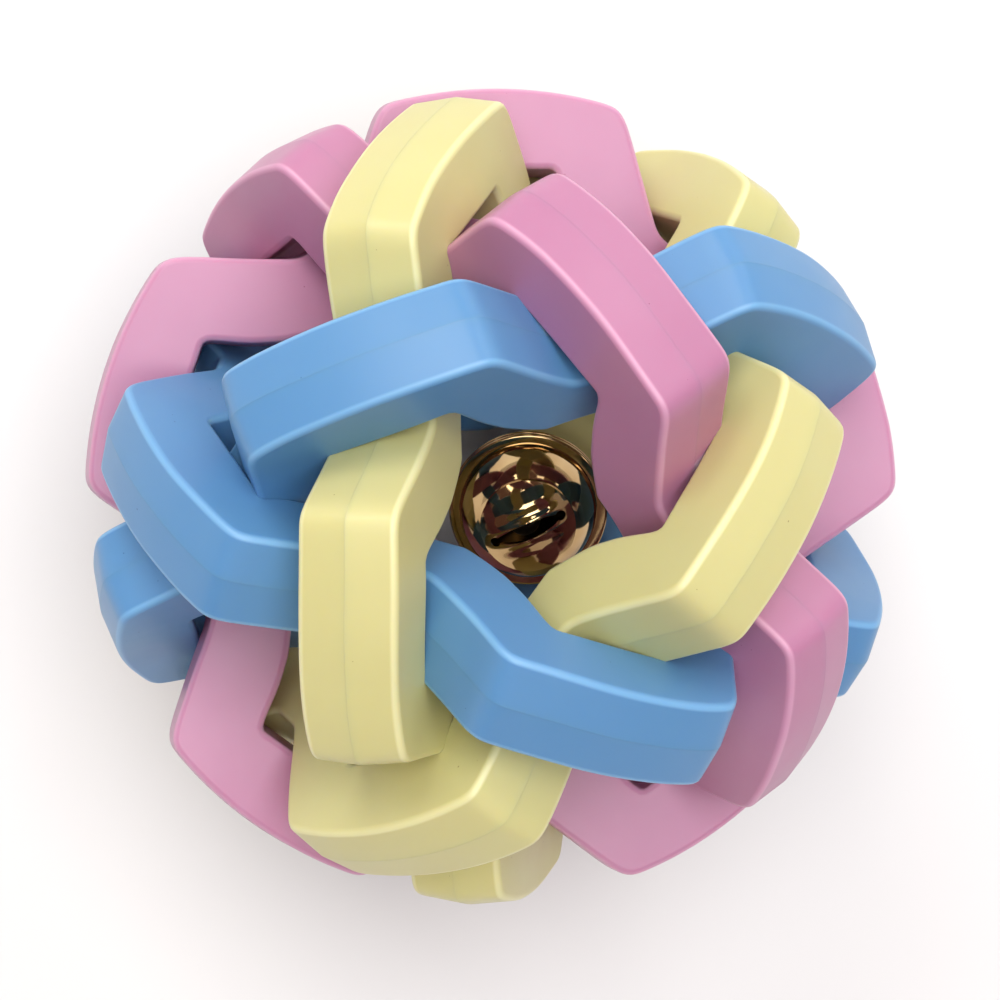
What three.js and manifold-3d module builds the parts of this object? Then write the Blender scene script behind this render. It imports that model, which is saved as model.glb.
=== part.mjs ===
// Woven rubber bell ball: six closed five-lobed rings that pass over and under each other,
// with a loose jingle bell in the cage. Millimetres, +Z up, standing on five lobes of the cage.
import * as THREE from 'three';
import Module from 'manifold-3d';
import { mergeVertices } from 'three/addons/utils/BufferGeometryUtils.js';

const wasm = await Module();
wasm.setup();

// ---- Driving dimensions -------------------------------------------------------------------

const BALL_RADIUS = 35; // sets the proportions of the rings
const CROWN_RADIUS = 35.3; // outer face of every lobe at its parting line
const LOBES = 5; // lobes on one ring, one over each crossing where the ring is on top

const RING_WIDTH = 0.23 * BALL_RADIUS; // side to side, along the ring's own axis
const RING_SWAY = 0.019 * BALL_RADIUS; // sideways wave of the ring at each crossing
const CROWN_HALF_ANGLE = 17.17; // degrees, half of the lobe's round outer face
const CROWN_FLAT_HALF_ANGLE = 2.6; // degrees, the one flat in the middle of the crown
const CROWN_SHOULDER_ANGLE = 12.7; // degrees, where the crown's last facet starts
const VALLEY_RADIUS = 0.766 * BALL_RADIUS; // outer face where the ring passes under another
const VALLEY_ANGLE = 31.1; // degrees from the middle of the lobe, where the valley starts
const ARCH_RADIUS = 0.811 * BALL_RADIUS; // corner of the flat inner face under the lobe
const ARCH_HALF_ANGLE = 9.6; // degrees
const WALL_FOOT_RADIUS = 0.711 * BALL_RADIUS; // where the steep wall of the arch ends
const WALL_FOOT_ANGLE = 13; // degrees
const BELLY_RADIUS = 0.646 * BALL_RADIUS; // bend in the inner face between wall and bore
const BELLY_ANGLE = 17; // degrees
const BORE_RADIUS = 0.565 * BALL_RADIUS; // inner face between the arches
const ARCH_FOOT_ANGLE = 27; // degrees, where the bore starts
const CROSSING_GAP = 0.4; // clearance of a lobe in the notch of the ring below it

const BELL_RADIUS = 6.9;
const BELL_SHEET = 0.5; // thickness of the stamped shells
const BELL_FACETS = 36;
const BELL_ARC_STEPS = 8;
const CRIMP_RADIUS = 7.35; // outside of the crimped rims
const CRIMP_HEIGHT = 0.5; // height of each rim
const SEAM_GAP = 0.3; // between the two rims
const BELL_PLACE = new THREE.Vector3(4.7, -1.5, -11.85); // from the middle of the ball
const BELL_LEAN_X = 16.3; // degrees; the bell lies with its slot up, leaning on the rings
const BELL_LEAN_Y = -7.5; // degrees
const SLOT_TURN = 26; // degrees
const SLOT_LENGTH = 7.3; // tip to tip of the almond-shaped slot
const SLOT_WIDTH = 1.5;
const SLOT_EYE_RADIUS = 0.45; // small round holes at the tips
const SLOT_FACETS = 96;
const LOOP_WIRE_RADIUS = 0.35;
const LOOP_HOLE_RADIUS = 0.75;
const LOOP_HALF_WIDTH = 1.2; // from the middle of the loop to the middle of a leg
const LOOP_RISE = 0.5; // straight part of each leg outside the shell
const LOOP_FOOT = 1; // how far each leg's end is bent over inside the shell
const LOOP_FOOT_DEPTH = 1.15; // from the shell's inner face to the middle of the foot
const LOOP_STEPS = 28;
const PELLET_RADIUS = 1.6;
const PELLET_PLACE = new THREE.Vector3(0.2, -1.1, -4.3); // from the middle of the bell

// ---- Materials ----------------------------------------------------------------------------

const rubber = (color) => new THREE.MeshStandardMaterial({ color, roughness: 0.55, metalness: 0 });
const brass = () => new THREE.MeshStandardMaterial({ color: 0xd2b468, roughness: 0.2, metalness: 1 });
const steel = () => new THREE.MeshStandardMaterial({ color: 0xb9bcc0, roughness: 0.3, metalness: 1 });

const PINK = 0xeab4d8;
const YELLOW = 0xf3ecb0;
const BLUE = 0x78b8ea;

// ---- Small helpers ------------------------------------------------------------------------

function polar(radius, degrees) {
  const angle = THREE.MathUtils.degToRad(degrees);
  return new THREE.Vector2(radius * Math.cos(angle), radius * Math.sin(angle));
}

function toSolid(geometry) {
  const bare = geometry.clone();
  bare.deleteAttribute('normal');
  bare.deleteAttribute('uv');
  const merged = mergeVertices(bare, 1e-4);
  return new wasm.Manifold(new wasm.Mesh({
    numProp: 3,
    vertProperties: new Float32Array(merged.attributes.position.array),
    triVerts: new Uint32Array(merged.index.array),
  }));
}

function toGeometry(solid) {
  const mesh = solid.getMesh();
  const geometry = new THREE.BufferGeometry();
  geometry.setAttribute('position', new THREE.BufferAttribute(mesh.vertProperties, 3));
  geometry.setIndex(new THREE.BufferAttribute(mesh.triVerts, 1));
  geometry.computeVertexNormals();
  return geometry;
}

function namedMesh(name, geometry, material) {
  const mesh = new THREE.Mesh(geometry, material);
  mesh.name = name;
  return mesh;
}

// ---- Rings --------------------------------------------------------------------------------

const PITCH = 360 / LOBES;
const FIRST_LOBE = 90; // degrees; puts one lobe's crown on +Y
const toRad = THREE.MathUtils.degToRad;

// Radius at an angle of the straight line between two points given by angle and radius.
function lineRadius(angle, angleA, radiusA, angleB, radiusB) {
  const a = polar(radiusA, angleA);
  const run = polar(radiusB, angleB).sub(a);
  const ray = polar(1, angle);
  return a.cross(run) / ray.cross(run);
}

// Outer and inner radius of a ring, by the angle from the middle of the nearest lobe.
function outerRadius(angle) {
  if (angle <= CROWN_HALF_ANGLE) return CROWN_RADIUS;
  if (angle <= VALLEY_ANGLE) {
    return lineRadius(angle, CROWN_HALF_ANGLE, CROWN_RADIUS, VALLEY_ANGLE, VALLEY_RADIUS);
  }
  return lineRadius(angle, VALLEY_ANGLE, VALLEY_RADIUS, PITCH - VALLEY_ANGLE, VALLEY_RADIUS);
}

const INNER_LINE = [
  [ARCH_HALF_ANGLE, ARCH_RADIUS], [WALL_FOOT_ANGLE, WALL_FOOT_RADIUS], [BELLY_ANGLE, BELLY_RADIUS],
  [ARCH_FOOT_ANGLE, BORE_RADIUS],
];

function innerRadius(angle) {
  if (angle <= ARCH_HALF_ANGLE) {
    return lineRadius(angle, -ARCH_HALF_ANGLE, ARCH_RADIUS, ARCH_HALF_ANGLE, ARCH_RADIUS);
  }
  for (let i = 1; i < INNER_LINE.length; i++) {
    if (angle <= INNER_LINE[i][0]) return lineRadius(angle, ...INNER_LINE[i - 1], ...INNER_LINE[i]);
  }
  return BORE_RADIUS;
}

// Sideways wave: the ring leans one way where it climbs on to a lobe and back where it leaves.
function sway(degrees) {
  return -RING_SWAY * Math.sin(LOBES * toRad(degrees));
}

// Angles from the middle of a lobe at which the ring's outline has a corner, up to the valley.
const CORNERS = [
  CROWN_FLAT_HALF_ANGLE, CROWN_SHOULDER_ANGLE, CROWN_HALF_ANGLE, VALLEY_ANGLE,
  ...INNER_LINE.map(([angle]) => angle),
].sort((a, b) => a - b);

function mirrored(angles) {
  return [...angles.map((angle) => -angle).reverse(), ...angles];
}

// A torus with a four-cornered section, each section moved to its place on the ring.
function ringBlank() {
  const offsets = [...mirrored(CORNERS), PITCH / 2];
  const stations = [];
  for (let lobe = 0; lobe < LOBES; lobe++) {
    stations.push(...offsets.map((offset) => ({ offset, degrees: FIRST_LOBE + lobe * PITCH + offset })));
  }
  const geometry = new THREE.TorusGeometry(1, 0.5, 4, stations.length);
  const position = geometry.attributes.position;
  for (let i = 0; i < position.count; i++) {
    const side = Math.floor(i / (stations.length + 1)) % 4;
    const { offset, degrees } = stations[(i % (stations.length + 1)) % stations.length];
    const isOuter = side < 2;
    const isTop = side === 1 || side === 2;
    const place = polar(isOuter ? outerRadius(Math.abs(offset)) : innerRadius(Math.abs(offset)), degrees);
    position.setXYZ(i, place.x, place.y, sway(offset) + (isTop ? RING_WIDTH : -RING_WIDTH) / 2);
  }
  return geometry;
}

// The room that a lobe, here the one on +Y, needs in the ring that it passes over: a box bent to
// the lobe's arch, with the crossing gap on every side and open to the outside.
function lobeRoom() {
  const shift = THREE.MathUtils.radToDeg(CROSSING_GAP / BORE_RADIUS);
  const offsets = mirrored(INNER_LINE.map(([angle]) => angle - shift));
  const halfWidth = RING_WIDTH / 2 + CROSSING_GAP;
  const geometry = new THREE.BoxGeometry(1, 1, 1, offsets.length - 1, 1, 1);
  const position = geometry.attributes.position;
  for (let i = 0; i < position.count; i++) {
    const offset = offsets[Math.round((0.5 - position.getX(i)) * (offsets.length - 1))];
    const floor = innerRadius(Math.abs(offset) + shift) - CROSSING_GAP;
    const place = polar(position.getY(i) > 0 ? CROWN_RADIUS + CROSSING_GAP : floor, FIRST_LOBE + offset);
    position.setXYZ(i, place.x, place.y, sway(offset) + Math.sign(position.getZ(i)) * halfWidth);
  }
  return geometry;
}

// The rings lie across the six five-fold axes of an icosahedron: the first across +Z, the others
// across five axes that lean away from it. A half turn about the line midway between +Z and such
// an axis carries the first ring on to the ring across that axis.
const AXIS_LEAN = Math.atan(2);
const UP = new THREE.Vector3(0, 0, 1);

function ringAxis(index) {
  const flat = polar(Math.sin(AXIS_LEAN), PITCH * (index - 1));
  return index === 0 ? UP.clone() : new THREE.Vector3(flat.x, flat.y, Math.cos(AXIS_LEAN));
}

function ringTurn(index) {
  if (index === 0) return new THREE.Quaternion();
  return new THREE.Quaternion().setFromAxisAngle(ringAxis(index).add(UP).normalize(), Math.PI);
}

// One ring, notched where the lobes of the other five pass over it.
function ringGeometry() {
  let ring = toSolid(ringBlank());
  for (let lobe = 0; lobe < LOBES; lobe++) {
    const room = lobeRoom().applyQuaternion(ringTurn(1)).rotateZ(toRad(PITCH * lobe));
    ring = ring.subtract(toSolid(room));
  }
  return toGeometry(ring);
}

// ---- Jingle bell --------------------------------------------------------------------------

// Quarter circle in the plane of a lathe profile, from the rim's height up to the pole.
function quarter(radius, rimHeight) {
  const start = Math.asin(rimHeight / radius);
  const points = [];
  for (let i = 0; i <= BELL_ARC_STEPS; i++) {
    const angle = start + ((Math.PI / 2 - start) * i) / BELL_ARC_STEPS;
    points.push(new THREE.Vector2(i === BELL_ARC_STEPS ? 0 : radius * Math.cos(angle), radius * Math.sin(angle)));
  }
  return points;
}

// Half of the bell, pole on +Z, with its crimped rim just above the seam.
function bellShell() {
  const rimBottom = SEAM_GAP / 2;
  const rimTop = rimBottom + CRIMP_HEIGHT;
  const profile = [
    ...quarter(BELL_RADIUS - BELL_SHEET, rimBottom).reverse(),
    new THREE.Vector2(CRIMP_RADIUS, rimBottom),
    new THREE.Vector2(CRIMP_RADIUS, rimTop),
    ...quarter(BELL_RADIUS, rimTop),
  ];
  return new THREE.LatheGeometry(profile, BELL_FACETS).rotateX(Math.PI / 2);
}

function slottedShell() {
  const sideRadius = (SLOT_LENGTH ** 2 + SLOT_WIDTH ** 2) / (4 * SLOT_WIDTH);
  const sides = [-1, 1].map((side) => {
    const round = new THREE.CylinderGeometry(sideRadius, sideRadius, BELL_RADIUS, SLOT_FACETS);
    return toSolid(round.rotateX(Math.PI / 2).translate(0, side * (sideRadius - SLOT_WIDTH / 2), BELL_RADIUS));
  });
  let shell = toSolid(bellShell()).subtract(sides[0].intersect(sides[1]));
  for (const side of [-1, 1]) {
    const eye = new THREE.CylinderGeometry(SLOT_EYE_RADIUS, SLOT_EYE_RADIUS, BELL_RADIUS, 16);
    eye.rotateX(Math.PI / 2).translate(side * (SLOT_LENGTH / 2 - SLOT_EYE_RADIUS), 0, BELL_RADIUS);
    shell = shell.subtract(toSolid(eye));
  }
  return toGeometry(shell);
}

// The other half, with two holes for the legs of the wire loop.
function loopShell() {
  let shell = toSolid(bellShell().rotateX(Math.PI));
  for (const side of [-1, 1]) {
    const hole = new THREE.CylinderGeometry(LOOP_HOLE_RADIUS, LOOP_HOLE_RADIUS, BELL_SHEET * 6, 12);
    hole.rotateX(Math.PI / 2).translate(side * LOOP_HALF_WIDTH, 0, -BELL_RADIUS);
    shell = shell.subtract(toSolid(hole));
  }
  return toGeometry(shell);
}

// A wire staple: an arch outside the shell, and two legs that go in and are bent over.
function wireLoop() {
  const bendHeight = -(BELL_RADIUS - BELL_SHEET - LOOP_FOOT_DEPTH);
  const archHeight = -(BELL_RADIUS + LOOP_RISE);
  const footEnd = LOOP_HALF_WIDTH + LOOP_FOOT;
  const path = new THREE.CatmullRomCurve3([
    new THREE.Vector3(-footEnd, 0, bendHeight),
    new THREE.Vector3(-LOOP_HALF_WIDTH, 0, bendHeight - LOOP_WIRE_RADIUS),
    new THREE.Vector3(-LOOP_HALF_WIDTH, 0, archHeight),
    new THREE.Vector3(0, 0, archHeight - LOOP_HALF_WIDTH),
    new THREE.Vector3(LOOP_HALF_WIDTH, 0, archHeight),
    new THREE.Vector3(LOOP_HALF_WIDTH, 0, bendHeight - LOOP_WIRE_RADIUS),
    new THREE.Vector3(footEnd, 0, bendHeight),
  ]);
  const section = new THREE.Shape();
  section.absarc(0, 0, LOOP_WIRE_RADIUS, 0, 2 * Math.PI);
  return new THREE.ExtrudeGeometry(section, { steps: LOOP_STEPS, curveSegments: 4, extrudePath: path });
}

// ---- Assembly -----------------------------------------------------------------------------

const RINGS = [
  ['pink_ring_equator', PINK],
  ['yellow_ring_right', YELLOW],
  ['blue_ring_upper', BLUE],
  ['yellow_ring_left', YELLOW],
  ['pink_ring_lower', PINK],
  ['blue_ring_lower', BLUE],
];

function bell() {
  const group = new THREE.Group();
  group.position.copy(BELL_PLACE);
  group.rotation.set(toRad(BELL_LEAN_X), toRad(BELL_LEAN_Y), toRad(SLOT_TURN));
  group.add(namedMesh('bell_slotted_shell', slottedShell(), brass()));
  group.add(namedMesh('bell_loop_shell', loopShell(), brass()));
  group.add(namedMesh('bell_wire_loop', wireLoop(), brass()));
  return group;
}

function pellet() {
  const mesh = namedMesh('bell_pellet', new THREE.IcosahedronGeometry(PELLET_RADIUS, 3), steel());
  mesh.position.copy(BELL_PLACE).add(PELLET_PLACE);
  return mesh;
}

function ball() {
  const cage = new THREE.Group();
  const ring = ringGeometry();
  RINGS.forEach(([name, color], index) => {
    const mesh = namedMesh(name, ring, rubber(color));
    mesh.quaternion.copy(ringTurn(index));
    cage.add(mesh);
  });
  const lowest = new THREE.Box3().setFromObject(cage, true).min.z;
  const group = new THREE.Group();
  group.add(cage, bell(), pellet());
  group.position.z = -lowest;
  return group;
}

export default ball();
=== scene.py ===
"""Woven rubber bell ball: the looks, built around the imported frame.

Six closed rings of soft moulded rubber pass over and under each other and make an openwork ball.
A polished brass jingle bell lies loose inside. Each ring, each half of the bell, the bell's wire
loop and the pellet is one finished piece that stands for the frame's plain node of the same part.

Lengths in the classes are millimetres, measured from the middle of the ball, unless a name says
otherwise. Finished pieces are in metres, in the frame's own axes.
"""

from __future__ import annotations

import logging
import math
from dataclasses import dataclass, field
from enum import Enum

import bmesh
import bpy
from mathutils import Matrix, Vector, noise

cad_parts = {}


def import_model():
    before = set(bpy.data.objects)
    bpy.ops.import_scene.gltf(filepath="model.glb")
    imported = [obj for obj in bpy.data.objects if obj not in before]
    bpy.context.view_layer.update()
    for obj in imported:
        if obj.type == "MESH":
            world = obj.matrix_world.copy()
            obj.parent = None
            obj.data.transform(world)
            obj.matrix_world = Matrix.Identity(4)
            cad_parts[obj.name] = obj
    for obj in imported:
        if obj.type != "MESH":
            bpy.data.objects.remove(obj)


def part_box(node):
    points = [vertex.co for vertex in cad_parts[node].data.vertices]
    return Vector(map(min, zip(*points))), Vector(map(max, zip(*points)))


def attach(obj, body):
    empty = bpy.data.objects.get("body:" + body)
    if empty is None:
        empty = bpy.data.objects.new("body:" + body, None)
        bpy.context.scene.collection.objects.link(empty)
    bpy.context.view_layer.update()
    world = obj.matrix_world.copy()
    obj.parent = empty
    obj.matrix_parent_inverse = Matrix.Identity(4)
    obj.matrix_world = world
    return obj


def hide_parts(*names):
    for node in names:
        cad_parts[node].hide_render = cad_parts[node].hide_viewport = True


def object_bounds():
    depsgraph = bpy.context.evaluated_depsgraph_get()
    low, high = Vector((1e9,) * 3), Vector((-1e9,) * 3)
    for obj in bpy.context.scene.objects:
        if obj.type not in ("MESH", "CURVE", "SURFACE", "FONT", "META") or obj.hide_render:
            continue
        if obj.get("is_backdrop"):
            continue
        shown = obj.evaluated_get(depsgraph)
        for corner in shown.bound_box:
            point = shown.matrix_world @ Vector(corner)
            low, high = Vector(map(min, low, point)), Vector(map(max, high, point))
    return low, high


log = logging.getLogger("bell_ball")

MM = 0.001
LOBES = 5
PITCH = 360 / LOBES
FIRST_LOBE = 90.0
AXIS_LEAN = math.atan(2)
ARC_STEPS = 56
RIM_STEPS = 6
SPIN_STEPS = 144
BOSS_BLEND = 3.6
# Mesh attribute that weights the painted highlight along the ridges of the rounded edges.
EDGE_HIGHLIGHT = "edge_highlight"


# ---- Helpers for colours, nodes and meshes ------------------------------------------------------


def linear(hex_colour: str, alpha: float = 1.0) -> tuple[float, float, float, float]:
    """Turn an sRGB hex colour into the linear values that shader sockets take.

    Args:
        hex_colour: Six hexadecimal digits, with or without a leading hash.
        alpha: Opacity to put last.

    Returns:
        Linear red, green, blue and alpha.
    """
    digits = hex_colour.lstrip("#")
    channels = [int(digits[i:i + 2], 16) / 255 for i in (0, 2, 4)]
    curve = [c / 12.92 if c <= 0.04045 else ((c + 0.055) / 1.055) ** 2.4 for c in channels]
    return curve[0], curve[1], curve[2], alpha


def add_node(
    tree: bpy.types.NodeTree,
    kind: str,
    settings: dict[str, object] | None = None,
    inputs: dict[str, object] | None = None,
) -> bpy.types.Node:
    """Add one node with its settings, socket values and incoming links.

    Args:
        tree: Node tree that gets the node.
        kind: Node type name, such as ShaderNodeTexNoise.
        settings: Node properties by name.
        inputs: Input sockets by name or index; an output socket makes a link, else a value.

    Returns:
        The new node.
    """
    node = tree.nodes.new(kind)
    for name, value in (settings or {}).items():
        setattr(node, name, value)
    for name, value in (inputs or {}).items():
        if isinstance(value, bpy.types.NodeSocket):
            tree.links.new(value, node.inputs[name])
        else:
            node.inputs[name].default_value = value
    return node


def new_material(name: str) -> tuple[bpy.types.Material, bpy.types.NodeTree, bpy.types.Node]:
    """Make an empty node material with its output.

    Args:
        name: Name of the real material.

    Returns:
        The material, its node tree and its output node.
    """
    material = bpy.data.materials.new(name)
    material.use_nodes = True
    tree = material.node_tree
    tree.nodes.clear()
    return material, tree, tree.nodes.new("ShaderNodeOutputMaterial")


def mesh_object(name: str, bm: bmesh.types.BMesh) -> bpy.types.Object:
    """Turn a bmesh in millimetres into an object in metres at the origin.

    Args:
        name: Object and mesh name.
        bm: Geometry, freed afterwards.

    Returns:
        The linked object.
    """
    bmesh.ops.scale(bm, vec=(MM, MM, MM), verts=bm.verts)
    mesh = bpy.data.meshes.new(name)
    bm.to_mesh(mesh)
    bm.free()
    piece = bpy.data.objects.new(name, mesh)
    bpy.context.scene.collection.objects.link(piece)
    return piece


def cut(piece: bpy.types.Object, cutter: bpy.types.Object) -> None:
    """Cut one object's mesh with another and remove the cutter.

    Args:
        piece: Object whose mesh is replaced by the result.
        cutter: Closed object that is taken away.
    """
    modifier = piece.modifiers.new("cut", "BOOLEAN")
    modifier.operation = "DIFFERENCE"
    modifier.solver = "MANIFOLD"
    modifier.object = cutter
    depsgraph = bpy.context.evaluated_depsgraph_get()
    result = bpy.data.meshes.new_from_object(piece.evaluated_get(depsgraph))
    piece.modifiers.remove(modifier)
    old = piece.data
    piece.data = result
    result.name = piece.name
    bpy.data.meshes.remove(old)
    bpy.data.meshes.remove(cutter.data)


def smooth_shaded(piece: bpy.types.Object, crease_degrees: float) -> None:
    """Shade a piece smooth, with sharp edges only where faces meet at a steep angle.

    Args:
        piece: Finished piece.
        crease_degrees: Edges steeper than this stay sharp.
    """
    piece.data.shade_smooth()
    piece.data.set_sharp_from_angle(angle=math.radians(crease_degrees))
    weighted = piece.modifiers.new("weighted_normals", "WEIGHTED_NORMAL")
    weighted.keep_sharp = True
    weighted.weight = 60


def dress(
    piece: bpy.types.Object, material: bpy.types.Material, body: str, node: str
) -> None:
    """Give a piece its material and its place in the frame.

    Args:
        piece: Finished piece.
        material: Its only material.
        body: Body of the frame that it rides on.
        node: Node of the frame that it replaces.
    """
    piece.data.materials.clear()
    piece.data.materials.append(material)
    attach(piece, body)
    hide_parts(node)
    log.info("%s: %d faces on body %s", piece.name, len(piece.data.polygons), body)


# ---- Finishes -----------------------------------------------------------------------------------


class RubberColour(Enum):
    """The pastel colours that the rings are moulded in, each with a short name."""

    PINK = "pink_rubber"
    YELLOW = "yellow_rubber"
    BLUE = "blue_rubber"


@dataclass(frozen=True)
class MouldedRubber:
    """Thermoplastic rubber, pigmented through and moulded.

    It is satin and slightly translucent, with a fine grain from the mould. Its rounded edges carry a painted
    highlight, a paler colour along their ridges, and its soft face holds a few tiny specks of dust.
    """

    colour: RubberColour
    base_hex: str
    deep_hex: str
    speck_hex: str
    # The edge colour and its share below are a painted highlight, a paler colour along the ridges of the rounded
    # edges.
    edge_highlight_hex: str
    glow_hex: str
    roughness: float = 0.38
    grain_mm: float = 0.35
    mottle_mm: float = 9.0
    speck_mm: float = 0.9
    speck_share: float = 0.1
    edge_highlight_share: float = 0.5
    scatter_mm: float = 1.6

    def material(self) -> bpy.types.Material:
        """Build the node material."""
        material, tree, output = new_material(f"moulded_tpr_{self.colour.name.lower()}")
        place = add_node(tree, "ShaderNodeTexCoord").outputs["Object"]
        mottle = add_node(
            tree, "ShaderNodeTexNoise",
            inputs={"Vector": place, "Scale": 1 / (self.mottle_mm * MM), "Detail": 3.0, "Roughness": 0.55},
        )
        colour = add_node(
            tree, "ShaderNodeMix", {"data_type": "RGBA"},
            {"Factor": mottle.outputs["Fac"], "A": linear(self.base_hex), "B": linear(self.deep_hex)},
        )
        dust = add_node(
            tree, "ShaderNodeTexVoronoi",
            inputs={"Vector": place, "Scale": 1 / (self.speck_mm * MM)},
        )
        dusty = add_node(
            tree, "ShaderNodeTexNoise",
            inputs={"Vector": place, "Scale": 1 / (self.speck_mm * 4 * MM), "Detail": 1.0},
        )
        reach = add_node(
            tree, "ShaderNodeMapRange",
            inputs={"Value": dusty.outputs["Fac"], "From Min": 0.6, "From Max": 0.75, "To Max": self.speck_share},
        )
        speck = add_node(
            tree, "ShaderNodeMath", {"operation": "LESS_THAN"},
            {0: dust.outputs["Distance"], 1: reach.outputs["Result"]},
        )
        # Painted highlight: a paler colour mixed in along the ridges of the rounded edges, weighted by the mesh
        # attribute.
        highlight_weight = add_node(tree, "ShaderNodeAttribute", {"attribute_name": EDGE_HIGHLIGHT})
        ridge = add_node(
            tree, "ShaderNodeMath", {"operation": "MULTIPLY"}, {0: highlight_weight.outputs["Fac"], 1: self.edge_highlight_share}
        )
        highlighted = add_node(
            tree, "ShaderNodeMix", {"data_type": "RGBA"},
            {"Factor": ridge.outputs["Value"], "A": colour.outputs["Result"], "B": linear(self.edge_highlight_hex)},
        )
        dotted = add_node(
            tree, "ShaderNodeMix", {"data_type": "RGBA"},
            {"Factor": speck.outputs["Value"], "A": highlighted.outputs["Result"], "B": linear(self.speck_hex)},
        )
        grain = add_node(
            tree, "ShaderNodeTexNoise",
            inputs={"Vector": place, "Scale": 1 / (self.grain_mm * MM), "Detail": 2.0},
        )
        polish = add_node(
            tree, "ShaderNodeMapRange",
            inputs={
                "Value": mottle.outputs["Fac"],
                "To Min": self.roughness - 0.06,
                "To Max": self.roughness + 0.08,
            },
        )
        bump = add_node(
            tree, "ShaderNodeBump",
            inputs={"Height": grain.outputs["Fac"], "Strength": 0.12, "Distance": 0.02 * MM},
        )
        shader = add_node(
            tree, "ShaderNodeBsdfPrincipled",
            inputs={
                "Base Color": dotted.outputs["Result"],
                "Roughness": polish.outputs["Result"],
                "IOR": 1.5,
                "Subsurface Weight": 0.25,
                "Subsurface Radius": linear(self.glow_hex)[:3],
                "Subsurface Scale": self.scatter_mm * MM,
                "Normal": bump.outputs["Normal"],
            },
        )
        tree.links.new(shader.outputs["BSDF"], output.inputs["Surface"])
        return material


@dataclass(frozen=True)
class PolishedBrass:
    """Bright brass plate on stamped steel: mirror-like and warm, with a faint ripple in its surface."""

    base_hex: str = "#D2B88A"
    deep_hex: str = "#946E40"
    roughness: float = 0.05

    def material(self) -> bpy.types.Material:
        """Build the node material."""
        material, tree, output = new_material("polished_brass_plate")
        place = add_node(tree, "ShaderNodeTexCoord").outputs["Object"]
        tarnish = add_node(
            tree, "ShaderNodeTexNoise",
            inputs={"Vector": place, "Scale": 1 / (4 * MM), "Detail": 4.0},
        )
        colour = add_node(
            tree, "ShaderNodeMix", {"data_type": "RGBA"},
            {"Factor": tarnish.outputs["Fac"], "A": linear(self.base_hex), "B": linear(self.deep_hex)},
        )
        polish = add_node(
            tree, "ShaderNodeMapRange",
            inputs={
                "Value": tarnish.outputs["Fac"],
                "To Min": self.roughness,
                "To Max": self.roughness + 0.08,
            },
        )
        ripple = add_node(tree, "ShaderNodeTexNoise", inputs={"Vector": place, "Scale": 1 / (2.5 * MM)})
        bump = add_node(
            tree, "ShaderNodeBump",
            inputs={"Height": ripple.outputs["Fac"], "Strength": 0.25, "Distance": 0.05 * MM},
        )
        shader = add_node(
            tree, "ShaderNodeBsdfPrincipled",
            inputs={
                "Base Color": colour.outputs["Result"],
                "Metallic": 1.0,
                "Roughness": polish.outputs["Result"],
                "Normal": bump.outputs["Normal"],
            },
        )
        tree.links.new(shader.outputs["BSDF"], output.inputs["Surface"])
        return material


@dataclass(frozen=True)
class SteelShot:
    """Plain carbon steel shot: grey, finely scuffed by rolling inside the bell."""

    base_hex: str = "#A9ABAD"
    dark_hex: str = "#77797C"
    scuff_mm: float = 0.4

    def material(self) -> bpy.types.Material:
        """Build the node material."""
        material, tree, output = new_material("carbon_steel_shot")
        place = add_node(tree, "ShaderNodeTexCoord").outputs["Object"]
        scuff = add_node(
            tree, "ShaderNodeTexNoise",
            inputs={"Vector": place, "Scale": 1 / (self.scuff_mm * MM), "Detail": 5.0},
        )
        colour = add_node(
            tree, "ShaderNodeMix", {"data_type": "RGBA"},
            {"Factor": scuff.outputs["Fac"], "A": linear(self.base_hex), "B": linear(self.dark_hex)},
        )
        polish = add_node(
            tree, "ShaderNodeMapRange",
            inputs={"Value": scuff.outputs["Fac"], "To Min": 0.22, "To Max": 0.45},
        )
        shader = add_node(
            tree, "ShaderNodeBsdfPrincipled",
            inputs={
                "Base Color": colour.outputs["Result"],
                "Metallic": 1.0,
                "Roughness": polish.outputs["Result"],
            },
        )
        tree.links.new(shader.outputs["BSDF"], output.inputs["Surface"])
        return material


@dataclass(frozen=True)
class PaleBoard:
    """Matt white display board under the ball."""

    base_hex: str = "#DEDEDE"

    def material(self) -> bpy.types.Material:
        """Build the node material."""
        material, tree, output = new_material("matt_white_board")
        shader = add_node(
            tree, "ShaderNodeBsdfPrincipled",
            inputs={"Base Color": linear(self.base_hex), "Roughness": 0.9, "Specular IOR Level": 0.2},
        )
        tree.links.new(shader.outputs["BSDF"], output.inputs["Surface"])
        return material


# ---- The woven rings ----------------------------------------------------------------------------


def ring_turn(index: int) -> Matrix:
    """Rotation that carries the first ring, across +Z, to the ring with this index.

    The rings lie across the six five-fold axes of an icosahedron. A half turn about the line
    midway between two of the axes swaps the rings across them.

    Args:
        index: Ring number, 0 for the ring across +Z.

    Returns:
        A 4 by 4 rotation about the middle of the ball.
    """
    if index == 0:
        return Matrix.Identity(4)
    azimuth = math.radians(PITCH * (index - 1))
    spread = math.sin(AXIS_LEAN)
    axis = Vector((spread * math.cos(azimuth), spread * math.sin(azimuth), math.cos(AXIS_LEAN)))
    return Matrix.Rotation(math.pi, 4, (axis + Vector((0, 0, 1))).normalized())


def line_radius(angle: float, start: tuple[float, float], end: tuple[float, float]) -> float:
    """Radius at which a ray from the middle meets the straight line between two polar points.

    Args:
        angle: Direction of the ray in degrees.
        start: Angle in degrees and radius of one point.
        end: Angle in degrees and radius of the other.

    Returns:
        The radius on the line.
    """
    ax, ay = (start[1] * math.cos(math.radians(start[0])), start[1] * math.sin(math.radians(start[0])))
    bx, by = (end[1] * math.cos(math.radians(end[0])), end[1] * math.sin(math.radians(end[0])))
    rx, ry = math.cos(math.radians(angle)), math.sin(math.radians(angle))
    return (ax * (by - ay) - ay * (bx - ax)) / (rx * (by - ay) - ry * (bx - ax))


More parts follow.
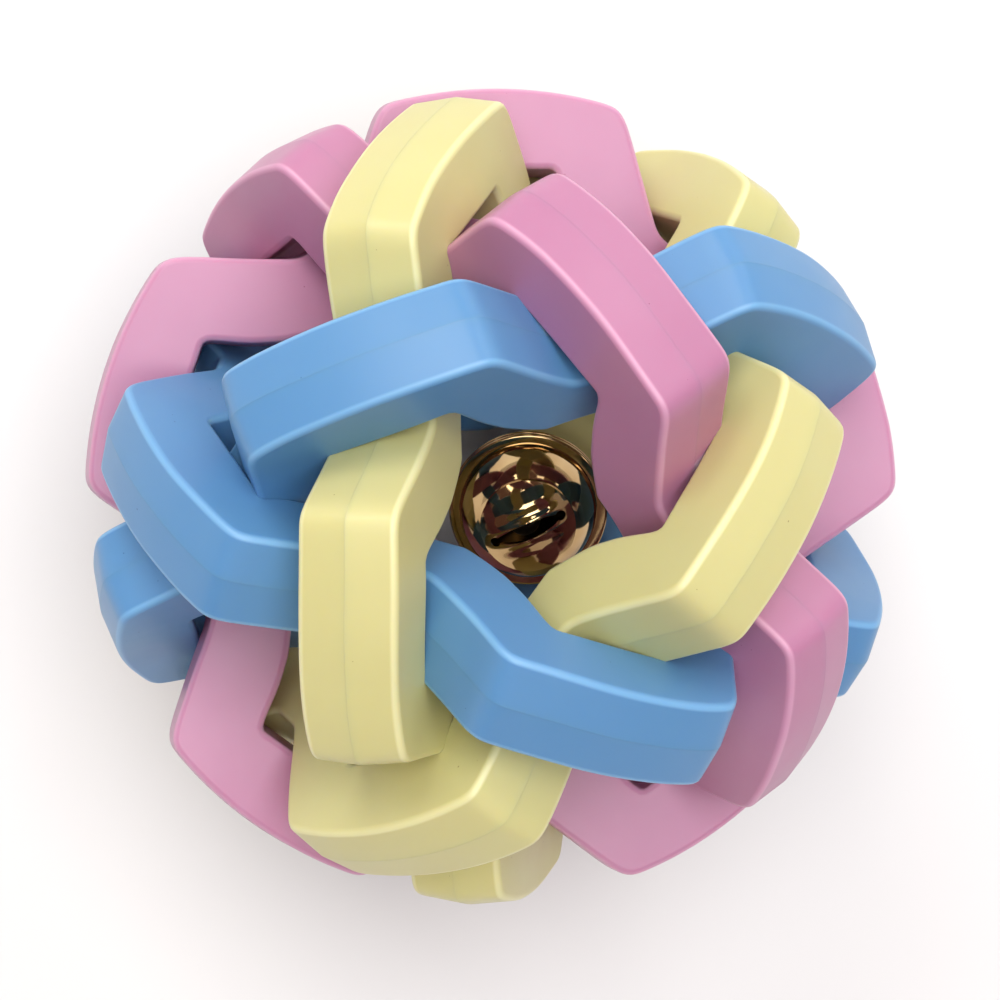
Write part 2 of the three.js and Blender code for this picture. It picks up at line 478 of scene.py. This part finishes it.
@dataclass
class WovenRing:
    """One closed ring with five lobes, in its own plane, with a moulded parting line round its middle.

    The inner line runs from the flat under a lobe, over the steep wall beside it, to the bore
    between the lobes. Each of its points is an angle from the middle of the lobe and a radius.
    """

    crown_radius: float = 35.2
    crown_half_angle: float = 17.17
    width: float = 8.0
    sway: float = 0.665
    valley_radius: float = 26.75
    valley_angle: float = 31.1
    inner_line: tuple[tuple[float, float], ...] = ((9.6, 28.4), (13.0, 24.9), (17.0, 22.6), (27.0, 19.8))
    draft: float = 0.32
    flash: float = 0.06
    flash_width: float = 0.16
    step: float = 0.0
    edge_round: float = 0.6
    stations: int = 600
    outer_corner_passes: int = 8
    inner_corner_passes: int = 2
    crossing_gap: float = 0.38
    seed: float = 0.0
    sag: float = 0.3
    sag_wave: float = 17.0
    dent: float = 0.08
    dent_wave: float = 6.0

    def outer_radius(self, offset: float) -> float:
        """Find the radius of the outer face.

        Args:
            offset: Angle in degrees from the middle of the nearest lobe.

        Returns:
            The radius.
        """
        if offset <= self.crown_half_angle:
            return self.crown_radius
        if offset <= self.valley_angle:
            return line_radius(
                offset, (self.crown_half_angle, self.crown_radius), (self.valley_angle, self.valley_radius)
            )
        return line_radius(
            offset, (self.valley_angle, self.valley_radius), (PITCH - self.valley_angle, self.valley_radius)
        )

    def inner_radius(self, offset: float) -> float:
        """Find the radius of the inner face.

        Args:
            offset: Angle in degrees from the middle of the nearest lobe.

        Returns:
            The radius.
        """
        arch_angle, arch_radius = self.inner_line[0]
        if offset <= arch_angle:
            return line_radius(offset, (-arch_angle, arch_radius), (arch_angle, arch_radius))
        for start, end in zip(self.inner_line, self.inner_line[1:]):
            if offset <= end[0]:
                return line_radius(offset, start, end)
        return self.inner_line[-1][1]

    def outline(self, bm: bmesh.types.BMesh, inner: bool, grow: float) -> list[bmesh.types.BMEdge]:
        """Draw one closed outline of the ring, with its corners rounded.

        Args:
            bm: Mesh that gets the outline.
            inner: True for the inner outline, False for the outer one.
            grow: Distance by which the outline is moved away from the rubber.

        Returns:
            The edges of the outline.
        """
        made = bmesh.ops.create_circle(bm, cap_ends=False, radius=1.0, segments=self.stations)
        verts = made["verts"]
        for vert in verts:
            angle = math.degrees(math.atan2(vert.co.y, vert.co.x))
            offset = abs((angle - FIRST_LOBE + PITCH / 2) % PITCH - PITCH / 2)
            if inner:
                shift = math.degrees(grow / self.inner_line[-1][1])
                radius = self.inner_radius(offset + shift) - grow
            else:
                radius = self.outer_radius(offset) + grow
            vert.co *= radius
        for _ in range(self.inner_corner_passes if inner else self.outer_corner_passes):
            bmesh.ops.smooth_vert(bm, verts=verts, factor=0.5, use_axis_x=True, use_axis_y=True)
        return list({edge for vert in verts for edge in vert.link_edges})

    def plate(self, width: float, inner_grow: float, outer_grow: float) -> bmesh.types.BMesh:
        """Build the ring with square edges, in two layers that meet at the parting plane.

        Args:
            width: Distance from side to side.
            inner_grow: How far the inner face is moved inwards.
            outer_grow: How far the outer face is moved outwards.

        Returns:
            A closed mesh.
        """
        bm = bmesh.new()
        edges = self.outline(bm, True, inner_grow) + self.outline(bm, False, outer_grow)
        bmesh.ops.bridge_loops(bm, edges=edges)
        bmesh.ops.translate(bm, vec=(0, 0, -width / 2), verts=bm.verts)
        faces = list(bm.faces)
        for _ in range(2):
            made = bmesh.ops.extrude_face_region(bm, geom=faces)["geom"]
            faces = [item for item in made if isinstance(item, bmesh.types.BMFace)]
            verts = [item for item in made if isinstance(item, bmesh.types.BMVert)]
            bmesh.ops.translate(bm, vec=(0, 0, width / 2), verts=verts)
        bmesh.ops.recalc_face_normals(bm, faces=bm.faces)
        return bm

    def swayed(self, bm: bmesh.types.BMesh) -> None:
        """Lean the ring sideways one way where it climbs to a lobe and back where it leaves."""
        for vert in bm.verts:
            angle = math.atan2(vert.co.y, vert.co.x) - math.radians(FIRST_LOBE)
            vert.co.z -= self.sway * math.sin(LOBES * angle)

    def is_outer(self, vert: bmesh.types.BMVert) -> bool:
        """Tell whether a corner of the square-edged ring is on its outer face.

        Args:
            vert: The corner, in the ring's own plane.

        Returns:
            True on the outer face, False on the inner one.
        """
        angle = math.degrees(math.atan2(vert.co.y, vert.co.x))
        offset = abs((angle - FIRST_LOBE + PITCH / 2) % PITCH - PITCH / 2)
        middle = (self.outer_radius(offset) + self.inner_radius(offset)) / 2
        return vert.co.to_2d().length > middle

    def round_rims(self, bm: bmesh.types.BMesh, half_width: float, radius: float) -> None:
        """Round the four edges that run all the way round the ring.

        Args:
            bm: The square-edged ring.
            half_width: Distance of its sides from the parting plane.
            radius: Radius of the rounding.
        """
        rims = [
            edge for edge in bm.edges
            if all(abs(abs(vert.co.z) - half_width) < 0.01 for vert in edge.verts)
            and self.is_outer(edge.verts[0]) == self.is_outer(edge.verts[1])
        ]
        bmesh.ops.bevel(
            bm, geom=rims, offset=radius, offset_type="OFFSET", segments=4, profile=0.5,
            affect="EDGES", material=-1, clamp_overlap=True,
        )

    def blank(self) -> bmesh.types.BMesh:
        """Build the ring before it is notched: draft, parting line, rounded edges and sway."""
        bm = self.plate(self.width, 0.0, 0.0)
        half = self.width / 2
        outer = [vert for vert in bm.verts if self.is_outer(vert)]
        parting = set(vert for vert in outer if abs(vert.co.z) < half / 2)
        for vert in outer:
            if vert not in parting:
                drop = self.draft + (self.step if vert.co.z > 0 else 0.0)
                vert.co.xy *= 1 - drop / vert.co.to_2d().length
        line = [edge for edge in bm.edges if all(vert in parting for vert in edge.verts)]
        self.round_rims(bm, half, self.edge_round)
        bmesh.ops.bevel(
            bm, geom=line, offset=self.flash_width, offset_type="OFFSET", segments=2, profile=0.5,
            affect="EDGES", material=-1, clamp_overlap=True,
        )
        for vert in bm.verts:
            if abs(vert.co.z) < self.flash_width / 4 and self.is_outer(vert):
                vert.co.xy *= 1 + self.flash / vert.co.to_2d().length
        self.swayed(bm)
        return bm

    def room(self) -> bmesh.types.BMesh:
        """Build the room that the lobe on +Y needs in the ring that it passes over."""
        bm = self.plate(self.width + 2 * self.crossing_gap, self.crossing_gap, 1.0)
        self.round_rims(bm, self.width / 2 + self.crossing_gap, self.edge_round + self.crossing_gap)
        self.swayed(bm)
        middle = math.radians(FIRST_LOBE)
        for side in (-1, 1):
            ray = middle + side * math.radians(self.inner_line[-1][0])
            normal = Vector((-math.sin(ray), math.cos(ray), 0)) * side
            made = bmesh.ops.bisect_plane(
                bm, geom=bm.verts[:] + bm.edges[:] + bm.faces[:],
                plane_co=(0, 0, 0), plane_no=normal, clear_outer=True,
            )
            cut_edges = [item for item in made["geom_cut"] if isinstance(item, bmesh.types.BMEdge)]
            bmesh.ops.holes_fill(bm, edges=cut_edges)
        bmesh.ops.recalc_face_normals(bm, faces=bm.faces)
        return bm

    def build(self, name: str, turn: Matrix, centre: Vector) -> bpy.types.Object:
        """Build the finished ring in its place.

        Args:
            name: Name of the piece.
            turn: Rotation from the ring across +Z.
            centre: Middle of the ball, in millimetres.

        Returns:
            The finished piece.
        """
        ring = mesh_object(name, self.blank())
        for lobe in range(LOBES):
            room = self.room()
            about = Matrix.Rotation(math.radians(PITCH * lobe), 4, "Z") @ ring_turn(1)
            bmesh.ops.transform(room, matrix=about, verts=room.verts)
            cut(ring, mesh_object(f"{name}_room", room))
        self.mark_edge_highlights(ring)
        ring.data.transform(Matrix.Translation(centre * MM) @ turn)
        self.weather(ring, centre)
        smooth_shaded(ring, 50)
        return ring

    def mark_edge_highlights(self, ring: bpy.types.Object) -> None:
        """Mark the ridges of the rounded edges with the weight of the painted highlight that the finish mixes in.

        Args:
            ring: The notched ring in its own plane.
        """
        highlight_weight = ring.data.attributes.new(EDGE_HIGHLIGHT, "FLOAT", "POINT")
        for vert, mark in zip(ring.data.vertices, highlight_weight.data):
            place = vert.co / MM
            angle = math.degrees(math.atan2(place.y, place.x)) - FIRST_LOBE
            side = abs(place.z + self.sway * math.sin(LOBES * math.radians(angle)))
            turn = (side - self.width / 2 + self.edge_round) / self.edge_round
            mark.value = math.sin(math.pi * min(1.0, max(0.0, turn)))

    def weather(self, ring: bpy.types.Object, centre: Vector) -> None:
        """Make the faces slightly uneven, as soft rubber is after it shrinks in the mould.

        The wide waves are the same for all rings, so that crossings keep their gaps.

        Args:
            ring: The ring in its place.
            centre: Middle of the ball, in millimetres.
        """
        for vert in ring.data.vertices:
            out = (vert.co / MM - centre).normalized()
            wide = noise.noise_vector(vert.co / (self.sag_wave * MM)) * self.sag
            place = vert.co / (self.dent_wave * MM) + Vector((self.seed, 0, 0))
            fine = noise.noise_vector(place) * self.dent
            shift = wide + fine
            vert.co += (shift - out * max(0.0, shift.dot(out))) * MM


@dataclass
class Cage:
    """The six rings woven into a ball."""

    centre: Vector
    finishes: dict[RubberColour, bpy.types.Material]
    rings: list[tuple[str, str, RubberColour, float]] = field(default_factory=lambda: [
        ("pink_ring_equator", "pink_equator", RubberColour.PINK, 0.0),
        ("yellow_ring_right", "yellow_right", RubberColour.YELLOW, 0.12),
        ("blue_ring_upper", "blue_upper", RubberColour.BLUE, 0.03),
        ("yellow_ring_left", "yellow_left", RubberColour.YELLOW, 0.06),
        ("pink_ring_lower", "pink_lower", RubberColour.PINK, 0.02),
        ("blue_ring_lower", "blue_lower", RubberColour.BLUE, 0.0),
    ])

    def build(self) -> None:
        """Build and dress every ring."""
        for index, (node, body, colour, step) in enumerate(self.rings):
            ring = WovenRing(step=step, seed=17.0 * index)
            piece = ring.build(f"{node}_rubber", ring_turn(index), self.centre)
            dress(piece, self.finishes[colour], body, node)


# ---- The jingle bell ----------------------------------------------------------------------------


@dataclass
class JingleBell:
    """Two stamped brass shells with crimped rims, a wire loop and a loose steel pellet."""

    centre: Vector
    pellet_centre: Vector
    radius: float = 6.8
    sheet: float = 0.45
    crimp_radius: float = 7.3
    crimp_height: float = 0.48
    seam_gap: float = 0.3
    boss_angle: float = 49.0
    boss_step: float = 0.42
    slot_length: float = 7.3
    slot_width: float = 1.5
    slot_eye_radius: float = 0.45
    lip_height: float = 0.17
    ripple_pitch: float = 1.5
    ripple_fade: float = 0.9
    loop_wire: float = 0.34
    loop_half_width: float = 1.2
    loop_hole: float = 0.74
    pellet_radius: float = 1.58
    lean_x: float = 16.3
    lean_y: float = -7.5
    slot_turn: float = 26.0

    def placed(self, bm: bmesh.types.BMesh) -> bmesh.types.BMesh:
        """Carry a mesh from the bell's own axes, slot up on +Z, to the bell's place in the cage.

        Args:
            bm: Mesh in the bell's own axes.

        Returns:
            The same mesh, moved.
        """
        place = (
            Matrix.Translation(self.centre)
            @ Matrix.Rotation(math.radians(self.lean_x), 4, "X")
            @ Matrix.Rotation(math.radians(self.lean_y), 4, "Y")
            @ Matrix.Rotation(math.radians(self.slot_turn), 4, "Z")
        )
        bmesh.ops.transform(bm, matrix=place, verts=bm.verts)
        return bm

    def arc(self, radius: float, start: float, boss: bool) -> list[Vector]:
        """Points of a quarter circle from the rim up to the pole, in the XZ plane.

        Args:
            radius: Radius at the pole.
            start: Height at which the arc starts.
            boss: True where the cap stands proud of the rest in a round boss.

        Returns:
            The points, lowest first.
        """
        points = []
        first = math.asin(start / radius)
        for i in range(ARC_STEPS + 1):
            angle = first + (math.pi / 2 - first) * i / ARC_STEPS
            rise = min(1.0, max(0.0, (math.degrees(angle) - self.boss_angle) / BOSS_BLEND + 0.5))
            drop = self.boss_step * (1 - rise * rise * (3 - 2 * rise)) if boss else 0.0
            points.append(Vector(((radius - drop) * math.cos(angle), 0, (radius - drop) * math.sin(angle))))
        return points

    def shell(self, boss: bool) -> bmesh.types.BMesh:
        """Spin one half of the bell, pole on +Z.

        Args:
            boss: True for the half whose cap is a raised round boss.

        Returns:
            A closed shell.
        """
        low = self.seam_gap / 2
        high = low + self.crimp_height
        round_rim = []
        for i in range(RIM_STEPS + 1):
            angle = math.pi * (i / RIM_STEPS - 0.5)
            round_rim.append(Vector((
                self.crimp_radius - self.crimp_height / 2 * (1 - math.cos(angle)), 0,
                (low + high + self.crimp_height * math.sin(angle)) / 2,
            )))
        inside = self.arc(self.radius - self.sheet, low, boss)
        profile = list(reversed(inside)) + round_rim + self.arc(self.radius, high, boss)
        bm = bmesh.new()
        verts = [bm.verts.new(point) for point in profile]
        for first, second in zip(verts, verts[1:]):
            bm.edges.new((first, second))
        bmesh.ops.spin(
            bm, geom=bm.verts[:] + bm.edges[:], cent=(0, 0, 0), axis=(0, 0, 1), angle=2 * math.pi,
            steps=SPIN_STEPS, use_merge=True,
        )
        bmesh.ops.remove_doubles(bm, verts=bm.verts, dist=0.0005)
        bmesh.ops.recalc_face_normals(bm, faces=bm.faces)
        return bm

    def press_lips(self, bm: bmesh.types.BMesh) -> None:
        """Press the sheet up along the slot, in a ripple that fades away from it.

        Args:
            bm: The shell in the bell's own axes, slot along X.
        """
        for vert in bm.verts:
            along = 2 * vert.co.x / (self.slot_length + 2)
            if abs(along) < 1:
                aside = abs(vert.co.y) - self.slot_width / 2
                fade = math.exp(-abs(aside) / self.ripple_fade)
                ripple = math.cos(2 * math.pi * aside / self.ripple_pitch) * fade
                vert.co *= 1 + self.lip_height * (1 - along * along) ** 2 * ripple / self.radius

    def drill(self, radius: float, x: float, z: float) -> bmesh.types.BMesh:
        """Make a round cutter that stands on the shell.

        Args:
            radius: Radius of the hole.
            x: Place along the slot.
            z: Height of the cutter's middle.

        Returns:
            The cutter.
        """
        bm = bmesh.new()
        bmesh.ops.create_cone(
            bm, cap_ends=True, cap_tris=False, segments=32, radius1=radius, radius2=radius, depth=5,
            matrix=Matrix.Translation((x, 0, z)),
        )
        return bm

    def slot(self) -> bmesh.types.BMesh:
        """Make the almond-shaped cutter for the slot, between two arcs that meet at its tips."""
        bm = bmesh.new()
        bmesh.ops.create_circle(bm, cap_ends=True, radius=1.0, segments=64)
        side_radius = (self.slot_length ** 2 + self.slot_width ** 2) / (4 * self.slot_width)
        for vert in bm.verts:
            x = vert.co.x * self.slot_length / 2
            reach = math.sqrt(side_radius ** 2 - x * x) - side_radius + self.slot_width / 2
            vert.co = Vector((x, math.copysign(reach, vert.co.y), self.radius - 2.5))
        made = bmesh.ops.extrude_face_region(bm, geom=bm.faces[:])["geom"]
        top = [item for item in made if isinstance(item, bmesh.types.BMVert)]
        bmesh.ops.translate(bm, vec=(0, 0, 5), verts=top)
        bmesh.ops.remove_doubles(bm, verts=bm.verts, dist=0.001)
        bmesh.ops.recalc_face_normals(bm, faces=bm.faces)
        return bm

    def slotted_shell(self) -> bpy.types.Object:
        """Build the half with the slot."""
        bm = self.shell(True)
        self.press_lips(bm)
        shell = mesh_object("bell_slotted_shell_brass", self.placed(bm))
        cut(shell, mesh_object("slot", self.placed(self.slot())))
        for side in (-1, 1):
            x = side * (self.slot_length / 2 - self.slot_eye_radius)
            cut(shell, mesh_object("eye", self.placed(self.drill(self.slot_eye_radius, x, self.radius))))
        smooth_shaded(shell, 40)
        return shell

    def loop_shell(self) -> bpy.types.Object:
        """Build the half with the holes for the wire loop."""
        bm = self.shell(False)
        bmesh.ops.rotate(bm, cent=(0, 0, 0), matrix=Matrix.Rotation(math.pi, 3, "X"), verts=bm.verts)
        shell = mesh_object("bell_loop_shell_brass", self.placed(bm))
        for side in (-1, 1):
            hole = self.drill(self.loop_hole, side * self.loop_half_width, -self.radius)
            cut(shell, mesh_object("hole", self.placed(hole)))
        smooth_shaded(shell, 40)
        return shell

    def wire_loop(self) -> bpy.types.Object:
        """Build the wire staple: an arch outside the shell and two legs bent over inside it."""
        bend = -(self.radius - self.sheet - 1.1)
        arch = -(self.radius + 0.5)
        half = self.loop_half_width
        leg = [(0.9 + half, bend + 0.02), (0.25 + half, bend - 0.05), (half, bend - 0.5), (half, arch)]
        leg.append((half * 0.71, arch - half * 0.71))
        points = [(-x, 0, z) for x, z in leg] + [(0, 0, arch - half)] + [(x, 0, z) for x, z in reversed(leg)]
        curve = bpy.data.curves.new("wire_loop", "CURVE")
        curve.dimensions = "3D"
        curve.bevel_depth = self.loop_wire
        curve.bevel_resolution = 4
        curve.use_fill_caps = True
        curve.resolution_u = 6
        spline = curve.splines.new("NURBS")
        spline.points.add(len(points) - 1)
        for point, place in zip(spline.points, points):
            point.co = (*place, 1)
        spline.use_endpoint_u = True
        spline.order_u = 3
        source = bpy.data.objects.new("wire_loop", curve)
        bpy.context.scene.collection.objects.link(source)
        depsgraph = bpy.context.evaluated_depsgraph_get()
        mesh = bpy.data.meshes.new_from_object(source.evaluated_get(depsgraph))
        bpy.data.objects.remove(source)
        bm = bmesh.new()
        bm.from_mesh(mesh)
        bpy.data.meshes.remove(mesh)
        bmesh.ops.remove_doubles(bm, verts=bm.verts, dist=0.001)
        bmesh.ops.recalc_face_normals(bm, faces=bm.faces)
        piece = mesh_object("bell_wire_loop_brass", self.placed(bm))
        smooth_shaded(piece, 60)
        return piece

    def pellet(self) -> bpy.types.Object:
        """Build the shot, slightly flattened on one side by its cutting."""
        bm = bmesh.new()
        bmesh.ops.create_icosphere(bm, subdivisions=4, radius=self.pellet_radius)
        for vert in bm.verts:
            vert.co.z = min(vert.co.z, self.pellet_radius * 0.97)
            vert.co += noise.noise_vector(vert.co) * 0.02
        bmesh.ops.translate(bm, vec=self.pellet_centre, verts=bm.verts)
        piece = mesh_object("bell_pellet_steel", bm)
        smooth_shaded(piece, 60)
        return piece

    def build(self, brass: bpy.types.Material, steel: bpy.types.Material) -> None:
        """Build and dress the bell's four pieces.

        Args:
            brass: Finish of the shells and the loop.
            steel: Finish of the pellet.
        """
        dress(self.slotted_shell(), brass, "bell", "bell_slotted_shell")
        dress(self.loop_shell(), brass, "bell", "bell_loop_shell")
        dress(self.wire_loop(), brass, "bell", "bell_wire_loop")
        dress(self.pellet(), steel, "pellet", "bell_pellet")


# ---- Studio -------------------------------------------------------------------------------------


@dataclass(frozen=True)
class Softbox:
    """A square area light that faces the ball; lengths in metres."""

    name: str
    direction: tuple[float, float, float]
    distance: float
    size: float
    watts: float
    tint_hex: str = "#FFFFFF"


SOFTBOXES = (
    Softbox("key", (-0.4, 0.75, 0.7), 0.7, 0.4, 2.3, "#FFFDF8"),
    Softbox("fill_back", (0.45, 0.75, 0.5), 0.8, 0.5, 1.55),
    Softbox("fill_front", (0.2, -0.85, 0.6), 0.8, 0.6, 0.6),
    Softbox("fill_right", (0.85, 0.25, 0.6), 0.8, 0.6, 0.3),
)


@dataclass
class Studio:
    """Pale floor, soft lights and the camera, which looks almost straight down on the ball."""

    centre: Vector
    camera_distance: float = 0.2164
    camera_tilt: float = 1.60
    camera_lean: float = 7.09
    camera_roll: float = -0.47
    lens_mm: float = 89.3
    shift: tuple[float, float] = (0.0064, -0.0047)
    ceiling_direction: tuple[float, float, float] = (0.0, 0.1, 1.0)
    ceiling_strength: float = 3.0
    ceiling_spread: float = 53.0
    upper_hex: str = "#6A5250"
    wall_hex: str = "#D4CFCE"
    wall_top: float = 0.3

    def camera(self) -> None:
        """Place the camera."""
        data = bpy.data.cameras.new("camera")
        data.lens = self.lens_mm
        data.sensor_width = 36
        data.shift_x, data.shift_y = self.shift
        data.clip_start = 0.01
        camera = bpy.data.objects.new("camera", data)
        camera.matrix_world = (
            Matrix.Translation(self.centre)
            @ Matrix.Rotation(math.radians(-self.camera_roll), 4, "Z")
            @ Matrix.Rotation(math.radians(-self.camera_lean), 4, "Y")
            @ Matrix.Rotation(math.radians(-self.camera_tilt), 4, "X")
            @ Matrix.Translation((0, 0, self.camera_distance))
        )
        bpy.context.scene.collection.objects.link(camera)
        bpy.context.scene.camera = camera

    def hang(self, softbox: Softbox) -> None:
        """Hang one light so that it faces the ball.

        Args:
            softbox: The light to hang.
        """
        data = bpy.data.lights.new(softbox.name, "AREA")
        data.shape = "SQUARE"
        data.size = softbox.size
        data.energy = softbox.watts
        data.color = linear(softbox.tint_hex)[:3]
        light = bpy.data.objects.new(softbox.name, data)
        direction = Vector(softbox.direction)
        light.location = self.centre + direction.normalized() * softbox.distance
        light.rotation_euler = direction.to_track_quat("Z", "Y").to_euler()
        bpy.context.scene.collection.objects.link(light)

    def ceiling(self) -> None:
        """Hang the wide ceiling light, so far away that it lights the whole floor evenly."""
        data = bpy.data.lights.new("ceiling", "SUN")
        data.energy = self.ceiling_strength
        data.angle = math.radians(self.ceiling_spread)
        light = bpy.data.objects.new("ceiling", data)
        light.rotation_euler = Vector(self.ceiling_direction).to_track_quat("Z", "Y").to_euler()
        bpy.context.scene.collection.objects.link(light)

    def surround(self) -> None:
        """Set the room around the floor: pale walls that fade into a dim, warm upper part."""
        world = bpy.data.worlds.new("studio_room")
        world.use_nodes = True
        tree = world.node_tree
        way = add_node(tree, "ShaderNodeTexCoord").outputs["Object"]
        height = add_node(tree, "ShaderNodeSeparateXYZ", inputs={"Vector": way}).outputs["Z"]
        fade = add_node(
            tree, "ShaderNodeMapRange", {"interpolation_type": "SMOOTHSTEP"},
            {"Value": height, "From Min": 0.0, "From Max": self.wall_top},
        )
        colour = add_node(
            tree, "ShaderNodeMix", {"data_type": "RGBA"},
            {"Factor": fade.outputs["Result"], "A": linear(self.wall_hex), "B": linear(self.upper_hex)},
        )
        tree.links.new(colour.outputs["Result"], tree.nodes["Background"].inputs["Color"])
        bpy.context.scene.world = world

    def lights(self) -> None:
        """Set all the soft studio light."""
        for softbox in SOFTBOXES:
            self.hang(softbox)
        self.ceiling()
        self.surround()
        bpy.context.scene.view_settings.view_transform = "Standard"

    def floor(self, height: float) -> None:
        """Lay the floor.

        Args:
            height: Height in metres that the ball's lowest point touches.
        """
        bm = bmesh.new()
        bmesh.ops.create_grid(bm, x_segments=1, y_segments=1, size=2000)
        bmesh.ops.translate(bm, vec=(0, 0, height / MM), verts=bm.verts)
        board = mesh_object("floor_board", bm)
        board.data.materials.append(PaleBoard().material())
        board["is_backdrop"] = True


# ---- Main ---------------------------------------------------------------------------------------


def box_lists(bounds: object) -> list[list[float]]:
    """Turn a pair of corners into plain lists of numbers.

    Args:
        bounds: Lowest and highest corner.

    Returns:
        The two corners as lists.
    """
    low, high = bounds
    return [[float(value) for value in low], [float(value) for value in high]]


def middle_of(node: str) -> Vector:
    """Find the middle of a node's box.

    Args:
        node: Node of the frame.

    Returns:
        The middle in millimetres.
    """
    low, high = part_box(node)
    return (Vector(low) + Vector(high)) / 2 / MM


def bell_middle() -> Vector:
    """Find the middle of the bell from the boxes of its two shells, which mirror each other."""
    return (middle_of("bell_slotted_shell") + middle_of("bell_loop_shell")) / 2


def main() -> None:
    """Load the frame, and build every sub-assembly in order."""
    logging.basicConfig(level=logging.INFO, format="%(name)s: %(message)s")
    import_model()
    cad_box = box_lists(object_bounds())
    centre = (Vector(cad_box[0]) + Vector(cad_box[1])) / 2
    studio = Studio(centre)
    studio.camera()

    finishes = {
        rubber.colour: rubber.material()
        for rubber in (
            MouldedRubber(RubberColour.PINK, "#B77F9E", "#B37698", "#9A5C7C", "#E4B4CE", "#FF8AA8"),
            MouldedRubber(RubberColour.YELLOW, "#CEC98E", "#C9C385", "#A39663", "#EDEBBC", "#FFD27A"),
            MouldedRubber(RubberColour.BLUE, "#5D8FBC", "#5489B9", "#3E6A9A", "#8CC2E8", "#7AB8FF"),
        )
    }
    Cage(centre / MM, finishes).build()

    bell = JingleBell(bell_middle(), middle_of("bell_pellet"))
    bell.build(PolishedBrass().material(), SteelShot().material())

    visual_box = box_lists(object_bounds())
    studio.floor(visual_box[0][2])
    studio.lights()


if __name__ == "__main__":
    main()
